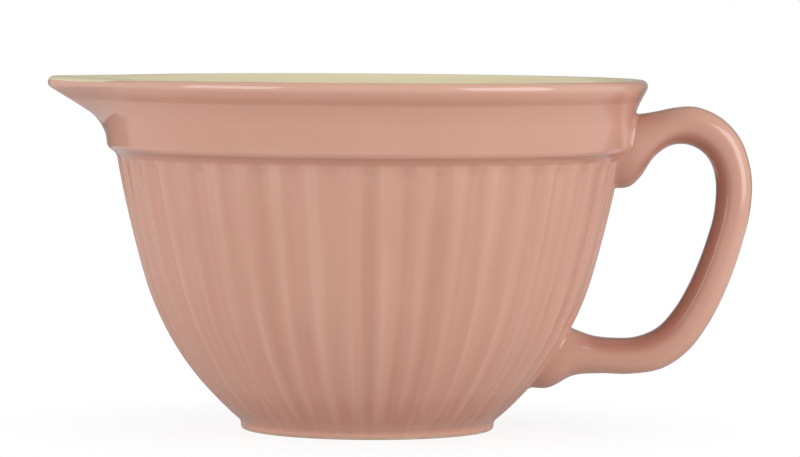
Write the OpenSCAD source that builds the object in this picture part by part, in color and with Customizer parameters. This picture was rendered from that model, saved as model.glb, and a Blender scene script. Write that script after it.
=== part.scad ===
// Batter bowl in glazed stoneware: a fluted mixing bowl with a plain collar, a pouring spout
// drawn out of its round rim, and a looped handle stuck on opposite the spout.
// The origin is on the bowl's axis at the surface it stands on. The handle points along +X,
// the spout along -X, and +Z is up. All lengths are in millimetres and angles in degrees.

/* [Bowl] */
// Outer diameter over the lip
rim_d = 222; // [212:1:232]
// Height of the rim above the table
bowl_h = 140; // [130:1:150]
// Thickness of the wall with its inner glaze
wall_t = 5.2; // [4:0.1:6.5]
// Distance that the fluted wall lies inside the lip where the collar starts
neck_in = 10.3; // [9.6:0.1:13]
// Lean of the fluted wall at its top, from the vertical
neck_lean = 9.8; // [8:0.1:12]
// Radius of the long upper curve of the wall, seen from the side
flank_r = 435; // [350:5:600]
// Height at which the flat upper curve turns into the round belly
waist_h = 60.6; // [54:0.2:68]

/* [Foot] */
// Outer diameter of the foot
foot_d = 101.2; // [94:0.2:108]
// Height at which the wall runs into the foot
foot_h = 3.4; // [3:0.1:4.5]
// Radius of the hollow between the foot and the wall
foot_cove_r = 3; // [2:0.1:4]
// Width of the ring that the bowl stands on
foot_ring_w = 5; // [4:0.1:8]
// Depth of the hollow inside the foot ring
foot_recess = 2.4; // [1.5:0.1:3]
// Thickness of the floor above that hollow
base_t = 6.6; // [5:0.1:9]
// Radius between the floor and the wall, inside
floor_r = 18; // [12:0.5:24]

/* [Collar and lip] */
// Height of the collar from its lower edge to the rim
collar_h = 30; // [28:0.2:33]
// Radius of the collar's lower edge
collar_edge_r = 3.2; // [2.4:0.1:3.6]
// Lean of the collar's plain face
band_lean = 8; // [5:0.2:10]
// Height of the flared lip above the collar's plain face
lip_h = 12.9; // [11:0.1:14]
// Lean of the flared lip
lip_lean = 26; // [20:0.5:30]
// Radius of the hollow under the lip
lip_cove_r = 12; // [8:0.5:16]
// Radius of the round edge of the lip
lip_r = 2.55; // [2.2:0.05:3]

/* [Flutes] */
// Number of flutes round the wall
flute_count = 44; // [40:2:48]
// Radius of the round-nosed tool that cuts a flute
flute_tool_r = 9.6; // [8:0.1:11]
// Depth of a flute in the upper wall
flute_depth = 1.25; // [0.8:0.05:1.5]
// Depth of a flute where it ends above the foot
flute_end_depth = 0.3; // [0.25:0.05:0.5]
// Height at which the flutes end
flute_end_h = 9; // [8:0.1:12]

/* [Spout] */
// Distance that the spout's tip stands out beyond the round lip
spout_out = 17.2; // [13:0.2:21]
// Height of the spout's tip above the rim
spout_rise = 1; // [0:0.1:2]
// Lean of the spout's underside
spout_lean = 58.5; // [54:0.5:61]
// Radius of the sweep from the collar into the spout's underside
spout_sweep_r = 17.3; // [15:0.1:18]
// Radius of the spout's nose at the tip, seen from above
nose_r = 16; // [12:0.5:20]
// Extra radius of the nose low down, where it runs into the collar
nose_spread = 40; // [20:1:50]

/* [Handle] */
// Distance that the handle stands out from the neck of the bowl
handle_out = 52.3; // [46:0.1:60]
// Distance of the handle's top below the rim
handle_drop = 11.5; // [10:0.1:14]
// Height of the handle's lowest point above the table
handle_low_h = 15.3; // [14:0.1:18]
// Width of the grip, across the handle
grip_w = 20; // [16:0.5:24]
// Width of the handle where it meets the bowl
root_w = 29; // [25:0.5:33]

/* [Slip joints] */
// Thickness of the slip between the handle and the wall
slip_t = 1.6; // [1.2:0.1:2]
// Distance that the slip is squeezed out round the handle
slip_bead = 1.3; // [0.8:0.1:1.6]

/* [Glaze] */
// Thickness of the cream glaze that lines the bowl
glaze_t = 0.5; // [0.4:0.05:0.7]
// Angle on the lip where the cream glaze ends, from the level on the outside
glaze_edge_a = 28; // [15:1:40]

/* [Hidden] */

// Colours
ROSE = [0.80, 0.60, 0.53];
CREAM = [0.85, 0.80, 0.68];
SLIP = [0.77, 0.57, 0.50];

// Facets of the round forms and steps of the lofts
ROUND = 180;
LIP_STEPS = 5;
EDGE_STEPS = 6;
RISE_STEPS = 7;
SPOUT_STEPS = 9;
RIM_STEPS = 56;
SECTION_SIDES = 18;
// Power that makes the handle's sections a little squarer than an oval, 1 for an oval
SECTION_SOFTNESS = 0.8;
// Crowding of the rim's sections towards the spout's nose, 1 for none
NOSE_CROWDING = 1.6;
// The flutes are cut in as many passes, so that no two of a pass meet
FLUTE_PASSES = 4;
// Overrun of the cuts
cut_share = 0.5;
cut = cut_share * wall_t;
// Depth by which the rim is let into the wall below it, and the steps that hide there
tongue_share = 0.1;
tongue = tongue_share * wall_t;
tongue_step_share = 0.06;
tongue_step = tongue_step_share * wall_t;
glaze_step_share = 0.2;

// Wall: a long flank arc from the neck down to the waist, and a belly arc that leaves it
// without a corner and runs down to the foot. Both are given by a centre and a radius.
neck_h = bowl_h - collar_h;
neck_r = rim_d / 2 - neck_in;
foot_r = foot_d / 2;
flank_c = [neck_r - flank_r * cos(neck_lean), neck_h + flank_r * sin(neck_lean)];
waist_a = asin((flank_c.y - waist_h) / flank_r);
waist = flank_c + flank_r * [cos(waist_a), -sin(waist_a)];
foot_corner = [foot_r, foot_h];
waist_normal = [cos(waist_a), -sin(waist_a)];
to_foot = foot_corner - waist;
belly_r = -(to_foot * to_foot) / (2 * (to_foot * waist_normal));
belly_c = waist - belly_r * waist_normal;

// Hollow between the foot and the belly: a circle that touches both
foot_cove_c = [
    foot_r + foot_cove_r,
    belly_c.y - sqrt(pow(belly_r + foot_cove_r, 2) - pow(foot_r + foot_cove_r - belly_c.x, 2))
];
foot_cove_touch = belly_c + belly_r / (belly_r + foot_cove_r) * (foot_cove_c - belly_c);

// Floor inside: level in the middle, with a circle that touches it and the belly
floor_h = foot_recess + base_t;

// Lip and collar. The lip's edge is a round bead. The flared lip hangs from it, and the plain
// face of the collar starts at the corner where the two leans cross.
rim_t = 2 * lip_r;
bead_h = bowl_h - lip_r;
bead_at = rim_d / 2 - lip_r;
lip_corner_h = bowl_h - lip_h;
edge_height_share = 1.3;
lip_corner_r = bead_at + lip_r / cos(lip_lean) - (bead_h - lip_corner_h) * tan(lip_lean);
lip_bend_h = lip_corner_h - lip_cove_r * tan((lip_lean - band_lean) / 2) * cos(band_lean);
edge_c_h = neck_h + edge_height_share * collar_edge_r;
edge_c_r = band_r(edge_c_h) - collar_edge_r;

// Spout: its nose follows the collar's face, sweeps outward and runs up its lean to the bead.
// The sections that belong to it reach a little past the place where its sides touch the ring.
spout_reach = rim_d / 2 + spout_out;
nose_bead_h = bead_h + spout_rise;
nose_bead_at = spout_reach - lip_r;
nose_line_r = nose_bead_at + lip_r / cos(spout_lean);
nose_corner_h = (nose_line_r - nose_bead_h * tan(spout_lean) - lip_corner_r
    + lip_corner_h * tan(band_lean)) / (tan(band_lean) - tan(spout_lean));
spout_h = nose_corner_h - spout_sweep_r * tan((spout_lean - band_lean) / 2) * cos(band_lean);
spout_margin_a = 4;
spout_a = acos((bead_at - nose_r) / (nose_bead_at - nose_r)) + spout_margin_a;

// Flutes: the tool's path runs beside the wall and drifts away from the belly, so the cut
// gets shallower towards the foot
tool_off = flute_tool_r - flute_depth;
flute_top_share = 0.62;
flute_top_h = neck_h - flute_top_share * flute_tool_r;
flute_top_a = asin((flank_c.y - flute_top_h) / flank_r);
flute_end_a = asin((belly_c.y - flute_end_h) / belly_r);
drift = (flute_depth - flute_end_depth) / (1 - cos(flute_end_a - waist_a));
drift_c = belly_c - drift * waist_normal;
// Each stretch of the tool starts inside the one above, which is a hair thicker
tool_step_share = 0.04;
tool_step = tool_step_share * flute_depth;
tool_overlap_a = 1;

// Handle: its outer and inner edges in the plane of the spout and handle. Shares run from the
// neck outward, and from the handle's lowest point up to its top.
handle_top_h = bowl_h - handle_drop;
outer_edge_shares = [
    [-0.07, 0.975], [0.09, 0.979], [0.24, 0.985], [0.41, 0.997], [0.56, 0.997], [0.70, 0.975],
    [0.82, 0.935], [0.92, 0.880], [0.98, 0.805], [1.00, 0.725], [0.98, 0.625], [0.93, 0.530],
    [0.87, 0.440], [0.79, 0.345], [0.68, 0.245], [0.53, 0.150], [0.33, 0.085], [0.09, 0.064],
    [-0.16, 0.061], [-0.36, 0.045], [-0.54, 0.018], [-0.82, -0.030]
];
inner_edge_shares = [
    [-0.13, 0.722], [0.04, 0.722], [0.14, 0.755], [0.24, 0.820], [0.36, 0.860], [0.48, 0.867],
    [0.58, 0.852], [0.66, 0.820], [0.71, 0.775], [0.727, 0.715], [0.71, 0.625], [0.66, 0.540],
    [0.60, 0.460], [0.52, 0.375], [0.42, 0.295], [0.29, 0.228], [0.12, 0.194], [-0.06, 0.190],
    [-0.20, 0.197], [-0.30, 0.212], [-0.41, 0.232], [-0.56, 0.262]
];
// Share of the way from the grip's width to the width at the bowl
root_shares = [
    1, 1, 0.72, 0.40, 0.16, 0.04, 0, 0, 0, 0, 0, 0, 0, 0, 0, 0, 0.03, 0.14, 0.36, 0.66, 0.94, 1
];
UPPER_ROOT_LAST = 4;
LOWER_ROOT_FIRST = 17;

function mix(a, b, t) = a + (b - a) * t;

// Distance of the collar's plain face from the axis
function band_r(h) = lip_corner_r + (h - lip_corner_h) * tan(band_lean);

// A face that leans by band_lean up to a bend, and by lean above it, at a depth inside the clay.
// start is the height where the bend starts on the outside, bend its radius.
function bent_r(h, start, bend, lean, depth) =
    let (
        c = [band_r(start) + bend * cos(band_lean), start - bend * sin(band_lean)],
        r = bend + depth,
        low = c + r * [-cos(band_lean), sin(band_lean)],
        high = c + r * [-cos(lean), sin(lean)]
    )
    h <= low.y ? low.x + (h - low.y) * tan(band_lean)
    : h >= high.y ? high.x + (h - high.y) * tan(lean)
    : c.x - sqrt(r * r - pow(h - c.y, 2));
function ring_r(h, depth) = bent_r(h, lip_bend_h, lip_cove_r, lip_lean, depth);
function reach_r(h, depth) = bent_r(h, spout_h, spout_sweep_r, spout_lean, depth);

// Outline of the spout from above: straight sides that touch the round ring and the round nose.
// Gives the distance from the axis at angle a from the spout's middle.
function drawn_r(a, ring, reach, nose) =
    reach <= ring ? ring
    : let (
        c = reach - nose,
        side = acos((ring - nose) / c),
        turn = atan2(nose * sin(side), c + nose * cos(side)),
        b = abs(a)
    )
    b >= side ? ring
    : b > turn ? ring / cos(side - b)
    : c * cos(b) + sqrt(nose * nose - pow(c * sin(b), 2));

// Share of the whole reach that the lip has at angle a
function drawn_share(a) =
    (drawn_r(a, bead_at, nose_bead_at, nose_r - lip_r) - bead_at) / (nose_bead_at - bead_at);

// A point of the wall above the spout's start: u is 0 there and 1 at the bead, depth is
// measured into the clay from the outside
function wall_point(a, u, depth) =
    let (
        side = depth / lip_r - 1,
        ring_h = mix(spout_h, bead_h + side * lip_r * sin(lip_lean), u),
        nose_h = mix(spout_h, nose_bead_h + side * lip_r * sin(spout_lean), u),
        ring = ring_r(ring_h, depth),
        reach = reach_r(nose_h, depth),
        drawn = (reach - ring) / (spout_reach - rim_d / 2),
        nose = nose_r - depth + nose_spread * pow(1 - min(1, drawn), 2)
    )
    [drawn_r(a, ring, reach, nose), mix(ring_h, nose_h, drawn_share(a))];

// A point of the bead at angle t round it, 0 on the level outside and 90 at the crest
function bead_point(a, t, r) =
    [
        drawn_r(a, bead_at, nose_bead_at, nose_r - lip_r) + r * cos(t),
        mix(bead_h, nose_bead_h, drawn_share(a)) + r * sin(t)
    ];
function bead_start(a) = -mix(lip_lean, spout_lean, drawn_share(a));

function face_points(a, depth) =
    [for (i = [0:RISE_STEPS]) wall_point(a, i / RISE_STEPS, depth)];
function bead_points(a, from, to, r) =
    [for (i = [0:LIP_STEPS]) bead_point(a, mix(from, to, i / LIP_STEPS), r)];
function backwards(list) = [for (i = [len(list) - 1:-1:0]) list[i]];
function inner_part(list) = [for (i = [0:len(list) - 2]) list[i]];
function outer_part(list) = [for (i = [1:len(list) - 1]) list[i]];

// Upright sections of the rim at angle a from the spout's middle: the clay, whose lip is
// lower under the cream glaze, and the glaze itself
function clay_section(a) = concat(
    inner_part(face_points(a, 0)),
    bead_points(a, bead_start(a), glaze_edge_a, lip_r),
    bead_points(a, glaze_edge_a, 180 + bead_start(a), lip_r - glaze_t),
    outer_part(backwards(face_points(a, rim_t - glaze_t)))
);
function glaze_section(a) = concat(
    inner_part(face_points(a, rim_t - glaze_t)),
    bead_points(a, 180 + bead_start(a), glaze_edge_a, lip_r - glaze_t),
    bead_points(a, glaze_edge_a, 180 + bead_start(a), lip_r),
    outer_part(backwards(face_points(a, rim_t)))
);

// The same sections with a tongue at the foot, let into the ring below
function with_tongue(section, inset) =
    let (a = section[0], b = section[len(section) - 1], s = sign(b.x - a.x))
    concat([a + [s * inset, -tongue]], section, [b + [-s * inset, -tongue]]);

// Closed skin through sections that all have the same even number of points. The two halves
// of a section face each other, and the ends are closed by a ladder of faces between them,
// unless the last section leads back to the first.
module loft(sections, endless = false) {
    n = len(sections[0]);
    total = len(sections) * n;
    last = total - n;
    points = [for (s = sections) for (p = s) p];
    sides = [
        for (i = [0:n:endless ? last : last - n]) for (j = [0:n - 1])
            let (k = (j + 1) % n, next = (i + n) % total)
            each [[i + j, i + k, next + k], [i + j, next + k, next + j]]
    ];
    ladder = endless ? [] : [
        for (j = [0:n / 2 - 2])
            each [[j, n - 2 - j, j + 1], [j, n - 1 - j, n - 2 - j]]
    ];
    far_ladder = [for (f = ladder) [last + f[0], last + f[2], last + f[1]]];
    polyhedron(points, concat(sides, ladder, far_ladder), convexity = 6);
}

// Angles of the rim's sections, closer together at the spout's nose
function nose_a(share) = sign(share) * spout_a * pow(abs(share), NOSE_CROWDING);
rim_angles = concat(
    [for (i = [-SPOUT_STEPS:SPOUT_STEPS]) nose_a(i / SPOUT_STEPS)],
    [for (i = [1:RIM_STEPS - 1]) mix(spout_a, 360 - spout_a, i / RIM_STEPS)]
);
function turned(p, a) = [-p.x * cos(a), -p.x * sin(a), p.y];

// Everything below the spout's start, as half sections
module arc_slab(c, r, low, high) {
    intersection() {
        translate(c) circle(r, $fn = 2 * ROUND);
        translate([0, low]) square([rim_d, high - low]);
    }
}

module foot_section(grow) {
    square([foot_r + grow, foot_cove_c.y]);
    difference() {
        polygon([
            [0, foot_cove_c.y], [foot_r + grow, foot_cove_c.y], foot_cove_c + [grow, 0],
            foot_cove_touch + [grow, 0], [0, foot_cove_touch.y]
        ]);
        translate(foot_cove_c + [grow, 0]) circle(foot_cove_r, $fn = ROUND);
    }
}

module collar_section(grow) {
    edge = [
        for (i = [0:EDGE_STEPS])
            let (t = mix(-90, -band_lean, i / EDGE_STEPS))
            [edge_c_r, edge_c_h] + collar_edge_r * [cos(t), sin(t)]
    ];
    outline = concat([[neck_r, neck_h]], edge, face_points(180, 0));
    polygon(concat(
        [[0, neck_h]],
        [for (p = outline) p + [grow, 0]],
        [[0, bead_h]]
    ));
}

// Half section of the bowl filled solid, up to the bead of its lip, grown outward
module outer_section(grow = 0) {
    foot_section(grow);
    arc_slab(belly_c, belly_r + grow, foot_cove_touch.y, waist_h);
    arc_slab(flank_c, flank_r + grow, waist_h, neck_h);
    collar_section(grow);
}

// Half section of the hollow inside, at a depth under the finished glaze
module hollow_section(depth) {
    belly = belly_r - wall_t + depth;
    flank = flank_r - wall_t + depth;
    floor_now = floor_h - depth;
    corner_r = floor_r + depth;
    corner = [
        belly_c.x + sqrt(pow(belly - corner_r, 2) - pow(belly_c.y - floor_now - corner_r, 2)),
        floor_now + corner_r
    ];
    touch = belly_c + belly / (belly - corner_r) * (corner - belly_c);
    shelf_h = neck_h - collar_edge_r;
    shelf_r = flank_c.x + sqrt(flank * flank - pow(flank_c.y - shelf_h, 2));
    polygon([[0, floor_now], [corner.x, floor_now], touch, [0, touch.y]]);
    intersection() {
        translate(corner) circle(corner_r, $fn = ROUND);
        translate([corner.x, 0]) square([rim_d, corner.y]);
    }
    arc_slab(belly_c, belly, touch.y, waist_h);
    arc_slab(flank_c, flank, waist_h, shelf_h);
    polygon([
        [0, shelf_h], [shelf_r, shelf_h], [ring_r(spout_h, rim_t - depth), spout_h],
        [0, spout_h]
    ]);
}

module recess_section() {
    translate([0, -cut]) square([foot_r - foot_ring_w, foot_recess + cut]);
}

// All that lies above the height where the rim is let in
module rim_space() {
    translate([0, spout_h - tongue / 3]) square([spout_reach, bowl_h]);
}

// The round-nosed tool's whole sweep for one flute, on the +X side
module flute_tool() {
    top = flank_c + (flank_r + tool_off) * [cos(flute_top_a), -sin(flute_top_a)];
    translate([flank_c.x, 0, flank_c.y]) rotate([90, 0, 0]) rotate([0, 0, -waist_a])
        rotate_extrude(angle = waist_a - flute_top_a, $fn = 2 * ROUND)
            translate([flank_r + tool_off, 0]) circle(flute_tool_r, $fn = ROUND / 2);
    translate([drift_c.x, 0, drift_c.y]) rotate([90, 0, 0]) rotate([0, 0, -flute_end_a])
        rotate_extrude(angle = flute_end_a - waist_a + tool_overlap_a, $fn = 2 * ROUND)
            translate([belly_r + drift + tool_off, 0])
                circle(flute_tool_r - tool_step, $fn = ROUND / 2);
    translate([top.x, 0, top.y]) sphere(flute_tool_r - tool_step, $fn = ROUND / 2);
}

// The turned bowl up to the rim
module turned_bowl() {
    rotate_extrude($fn = ROUND) difference() {
        outer_section();
        rim_space();
        hollow_section(glaze_t);
        recess_section();
    }
}

// The turned bowl with its flutes cut in passes of every fourth one
module fluted_bowl(pass) {
    if (pass == 0) {
        turned_bowl();
    } else {
        difference() {
            fluted_bowl(pass - 1);
            for (i = [pass - 1:FLUTE_PASSES:flute_count - 1])
                rotate([0, 0, i * 360 / flute_count]) flute_tool();
        }
    }
}

module bowl_body() {
    color(ROSE) {
        fluted_bowl(FLUTE_PASSES);
        loft([
            for (a = rim_angles)
                [for (p = with_tongue(clay_section(a), tongue_step)) turned(p, a)]
        ], endless = true);
    }
}

module inner_glaze() {
    color(CREAM) {
        rotate_extrude($fn = ROUND) difference() {
            hollow_section(glaze_t);
            rim_space();
            hollow_section(0);
        }
        loft([
            for (a = rim_angles)
                [for (p = with_tongue(glaze_section(a), glaze_step_share * glaze_t)) turned(p, a)]
        ], endless = true);
    }
}

// Rings of the handle from its outer and inner edges, each with a rounded outline
function handle_ring(i, grow) =
    let (
        o = edge_point(outer_edge_shares[i]),
        n = edge_point(inner_edge_shares[i]),
        mid = (o + n) / 2,
        half = (o - n) / 2,
        thick = norm(half) + grow,
        side = half / norm(half),
        wide = mix(grip_w, root_w, root_shares[i]) / 2 + grow
    )
    [
        for (k = [0:SECTION_SIDES - 1])
            let (
                t = k * 360 / SECTION_SIDES,
                across = thick * soft(cos(t)),
                along = wide * soft(sin(t))
            )
            [mid.x + across * side.x, along, mid.y + across * side.y]
    ];
function edge_point(p) =
    [neck_r + p.x * handle_out, mix(handle_low_h, handle_top_h, p.y)];
function soft(v) = sign(v) * pow(abs(v), SECTION_SOFTNESS);

module handle_loft(first, last, grow) {
    loft([for (i = [first:last]) handle_ring(i, grow)]);
}

module handle() {
    color(ROSE) difference() {
        handle_loft(0, len(outer_edge_shares) - 1, 0);
        rotate_extrude($fn = ROUND) outer_section(slip_t);
    }
}

// Slip squeezed between a root of the handle and the wall
module slip_pad(first, last) {
    color(SLIP) intersection() {
        handle_loft(first, last, slip_bead);
        rotate_extrude($fn = ROUND) difference() {
            outer_section(slip_t);
            outer_section(0);
        }
    }
}

bowl_body();
inner_glaze();
handle();
slip_pad(0, UPPER_ROOT_LAST);  // upper_slip_joint
slip_pad(LOWER_ROOT_FIRST, len(outer_edge_shares) - 1);  // lower_slip_joint
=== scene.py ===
"""Looks of the batter bowl: glazed stoneware with a fluted wall, a plain collar, a pouring
spout drawn out of the rim and a loop handle. Lengths are named in millimetres, as on the
bowl, and become metres where a mesh, a material, the camera or a lamp is made. The bowl's
axis is Z, the handle points along +X and the spout along -X. The sizes repeat those of the
solids, apart from a few that fit the photograph better, such as the hollow under the lip."""
import math

import bpy
import numpy as np
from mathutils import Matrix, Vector


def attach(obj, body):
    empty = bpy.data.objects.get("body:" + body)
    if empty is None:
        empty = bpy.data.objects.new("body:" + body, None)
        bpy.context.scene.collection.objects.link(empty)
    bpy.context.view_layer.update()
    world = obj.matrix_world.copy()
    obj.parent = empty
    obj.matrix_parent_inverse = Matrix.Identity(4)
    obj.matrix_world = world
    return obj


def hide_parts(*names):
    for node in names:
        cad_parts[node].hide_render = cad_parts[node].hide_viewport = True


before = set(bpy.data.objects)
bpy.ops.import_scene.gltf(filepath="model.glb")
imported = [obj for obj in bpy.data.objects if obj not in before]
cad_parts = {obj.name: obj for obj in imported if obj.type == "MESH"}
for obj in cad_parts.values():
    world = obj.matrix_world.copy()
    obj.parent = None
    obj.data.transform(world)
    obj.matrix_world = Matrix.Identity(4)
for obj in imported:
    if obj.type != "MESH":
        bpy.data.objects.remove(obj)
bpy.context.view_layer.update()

MM = 0.001

# Bowl
RIM_R = 111
BOWL_H = 140
WALL_T = 5.2
NECK_IN = 10.3
NECK_LEAN = math.radians(9.8)
FLANK_R = 435
WAIST_H = 60.6
BASE_T = 6.6
FLOOR_R = 18

# Foot
FOOT_R = 50.6
FOOT_H = 3.4
FOOT_COVE_R = 3
FOOT_RING_W = 5
FOOT_RECESS = 2.4
FOOT_EDGE_R = 1.3
FOOT_EDGE_H = 1.5 * FOOT_EDGE_R

# Collar and lip. The undercut runs from the wall below the collar into its round lower edge.
COLLAR_H = 30
COLLAR_EDGE_R = 3.2
COLLAR_EDGE_SHARE = 1.3
UNDERCUT_FROM_H = 1.6
UNDERCUT_TURN = math.radians(-62)
BAND_LEAN = math.radians(8)
LIP_H = 12.9
LIP_LEAN = math.radians(26)
LIP_COVE_R = 24
LIP_R = 2.55

# Spout
SPOUT_OUT = 17.2
SPOUT_RISE = 0.2
SPOUT_LEAN = math.radians(58.5)
SPOUT_SWEEP_R = 17.3
NOSE_R = 16
NOSE_SPREAD = 40
NOSE_OUT_LEAST = 1

# Flutes. They run out near the foot, over a height that starts a little below their end.
FLUTE_COUNT = 44
FLUTE_TOOL_R = 9.6
FLUTE_DEPTH = 1.25
FLUTE_END_DEPTH = 0.5
FLUTE_END_H = 9
FLUTE_TOP_H = 104.3
FLUTE_SOFTNESS = 1.0
END_SOFTNESS_SHARE = 0.35
RUN_OUT_BELOW = 4
RUN_OUT_H = 9
ARCH_POWER = 2.7
# Two waves make the flutes differ in depth: a share of the depth, a phase for each flute and
# a phase for each millimetre of height
FLUTE_WAVES = [(0.05, 2.3, 0), (0.04, 0.9, 0.05)]

# Small unevenness of a hand-finished body: turns round the axis, turns per millimetre of
# height, and a phase. It only ever lies inside the true form.
WAVES = [(3, 0.004, 0.4), (5, 0.011, 1.9), (8, -0.017, 3.1), (13, 0.023, 0.8), (21, -0.031, 2.2)]
WAVE_H = 0.045
WALL_WAVE_SHARE = 0.4
RIM_WAVE_SHARE = 0.8
WALL_WAVES_FROM_H, WALL_WAVES_RISE = 4, 8
RIM_WAVES_IN_SHARE, RIM_WAVES_OUT_SHARE = 0.5, 0.25

# Cream glaze: its thickness, how thick it starts at its edge, and the gap to the clay under it
GLAZE_T = 0.5
GLAZE_EDGE_T = 0.25
GLAZE_GAP = 0.05
# Shares of its way over the lip on which the clay sinks under it, and its face and its back
# come away from its edge
CLAY_SINKS_SHARE = 1 / 7
FACE_ROUNDS_SHARE = 1 / 14
BACK_SINKS_SHARE = 1 / 8
# Angle on the lip where the cream ends, from the level on the outside: on the round rim, on
# the shoulders beside the spout and on the spout
GLAZE_EDGE_A = math.radians(80)
SHOULDER_GLAZE_EDGE_A = math.radians(42)
SPOUT_GLAZE_EDGE_A = math.radians(19)
# Where the shoulders end, and over what angle the round rim's level takes over
SHOULDER_A = math.radians(15)
SHOULDER_SPAN_A = math.radians(60)
# Share of the spout's reach at which its own level is met
SPOUT_GLAZE_SHARE = 1 / 9
# Waves in that edge: turns round the axis and a phase
EDGE_WAVES = [(7, 0.2), (16, 1.3), (29, 2.4)]
EDGE_WAVE_A = math.radians(1.6)

# Handle
HANDLE_OUT = 52.3
HANDLE_TOP_H = 128.5
HANDLE_LOW_H = 15.3
GRIP_W = 20
ROOT_W = 29
SECTION_SOFTNESS = 0.8

# Edges of the handle in the plane of the spout and handle: shares of its reach from the neck
# outward, and of its height from its lowest point up
OUTER_EDGE_SHARES = np.array([
    (-0.07, 0.975), (0.09, 0.979), (0.24, 0.989), (0.41, 1.005), (0.56, 1.008), (0.70, 0.986),
    (0.82, 0.947), (0.92, 0.886), (0.98, 0.805), (1.00, 0.725), (0.98, 0.625), (0.93, 0.530),
    (0.87, 0.440), (0.79, 0.345), (0.68, 0.245), (0.53, 0.150), (0.33, 0.085), (0.09, 0.064),
    (-0.16, 0.065), (-0.36, 0.056), (-0.56, 0.012), (-0.80, 0.024)])
INNER_EDGE_SHARES = np.array([
    (-0.13, 0.722), (0.04, 0.722), (0.14, 0.757), (0.24, 0.826), (0.36, 0.868), (0.48, 0.876),
    (0.58, 0.861), (0.66, 0.829), (0.71, 0.781), (0.727, 0.715), (0.71, 0.625), (0.66, 0.540),
    (0.60, 0.460), (0.52, 0.375), (0.42, 0.295), (0.29, 0.228), (0.12, 0.194), (-0.06, 0.190),
    (-0.20, 0.197), (-0.30, 0.212), (-0.41, 0.232), (-0.56, 0.262)])
# Share of the way from the grip's width to the width at the bowl
ROOT_SHARES = np.array([
    1, 1, 0.72, 0.40, 0.16, 0.04, 0, 0, 0, 0, 0, 0, 0, 0, 0, 0, 0.03, 0.14, 0.36, 0.66, 0.94, 1])
# Places along the handle that stand clear of the wall, counted in pairs of shares
UPPER_CLEAR_PLACE, LOWER_CLEAR_PLACE = 5, 16

# Slip smoothed round the two roots of the handle: its reach along the handle and on the wall,
# the bulge of its face, how far its back tucks in, and how deep its edges sink
SLIP_ON_HANDLE = 2.6
SLIP_ON_WALL = 1.7
SLIP_BULGE = 0.62
SLIP_TUCK_IN = 0.75
SLIP_TUCK_DOWN = 0.25
SLIP_SUNK = 0.4
HANDLE_SUNK = 0.15

# Fineness of the meshes
COLUMNS = FLUTE_COUNT * 20
LINING_COLUMNS = FLUTE_COUNT * 10
LINING_RIM_ROWS, LINING_WALL_ROWS = 34, 44
HANDLE_SIDES = 72
HANDLE_ROWS = 220
SLIP_FACE_ROWS = 15
# Places along the handle at which its landing on the wall is looked for
LANDING_STEPS = 900
# Rows up the rim, which crowd a little towards the bead
RISE_ROWS = 40
RISE_CROWDING = 0.9
# How far below the top of the flutes the finer rows start
FINE_ARCHES_H = 9
# Rows that close a root of the handle, as shares of the way from its outline to its middle
CAP_SHARES = np.linspace(0.85, 0.15, 5)
# Radius of the ring round the axis in which a mesh ends, but for its pole
POLE_R = 4

# These keep a division away from zero, in millimetres and square millimetres
TINY_GAP, TINY_AREA = 1e-6, 1e-9
# An angle just under a quarter turn, in radians
UNDER_QUARTER_TURN = 1.5


def mix(a, b, t):
    """From a to b, as t goes from 0 to 1."""
    return a + (b - a) * t


def smooth_step(t):
    """From 0 to 1 without a corner, as t goes from 0 to 1."""
    t = np.clip(t, 0, 1)
    return t * t * (3 - 2 * t)


def unit(vectors):
    """Rows of vectors, each brought to a length of 1."""
    return vectors / np.linalg.norm(vectors, axis=1, keepdims=True)


def polar(centre, radius, angle):
    """Points of an arc in the half section, as rows of (distance from the axis, height)."""
    angle = np.asarray(angle, float)
    return np.stack([centre[0] + radius * np.cos(angle), centre[1] + radius * np.sin(angle)], -1)


def lines_meet(p, d, q, e):
    """Where the line through p along d meets the line through q along e."""
    s = ((q[0] - p[0]) * e[1] - (q[1] - p[1]) * e[0]) / (d[0] * e[1] - d[1] * e[0])
    return np.array(p) + s * np.array(d)


def bezier(points, count):
    """Points along a quadratic or cubic curve, ends included."""
    layers = [np.asarray(p, float) for p in points]
    t = np.linspace(0, 1, count).reshape((-1,) + (1,) * layers[0].ndim)
    layers = [p[None] for p in layers]
    while len(layers) > 1:
        layers = [mix(a, b, t) for a, b in zip(layers, layers[1:])]
    return layers[0]


# Half section of the wall, from the sizes above: a long flank arc down to the waist, a belly
# arc that leaves it without a corner, and a small hollow between the belly and the foot
NECK_H = BOWL_H - COLLAR_H
NECK_R = RIM_R - NECK_IN
FLANK_C = np.array([NECK_R - FLANK_R * math.cos(NECK_LEAN), NECK_H + FLANK_R * math.sin(NECK_LEAN)])
WAIST_A = math.asin((FLANK_C[1] - WAIST_H) / FLANK_R)
WAIST_N = np.array([math.cos(WAIST_A), -math.sin(WAIST_A)])
WAIST = FLANK_C + FLANK_R * WAIST_N
TO_FOOT = np.array([FOOT_R, FOOT_H]) - WAIST
BELLY_R = -(TO_FOOT @ TO_FOOT) / (2 * (TO_FOOT @ WAIST_N))
BELLY_C = WAIST - BELLY_R * WAIST_N
COVE_X = FOOT_R + FOOT_COVE_R
COVE_C = np.array([
    COVE_X, BELLY_C[1] - math.sqrt((BELLY_R + FOOT_COVE_R) ** 2 - (COVE_X - BELLY_C[0]) ** 2)])
COVE_TOUCH_A = math.atan2(*(COVE_C - BELLY_C)[::-1])
FLOOR_H = FOOT_RECESS + BASE_T

# Half section of the collar and the lip. The lip's edge is a round bead.
BEAD_H = BOWL_H - LIP_R
BEAD_AT = RIM_R - LIP_R
RIM_T = 2 * LIP_R
CORNER_H = BOWL_H - LIP_H
CORNER_R = BEAD_AT + LIP_R / math.cos(LIP_LEAN) - (BEAD_H - CORNER_H) * math.tan(LIP_LEAN)


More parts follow.
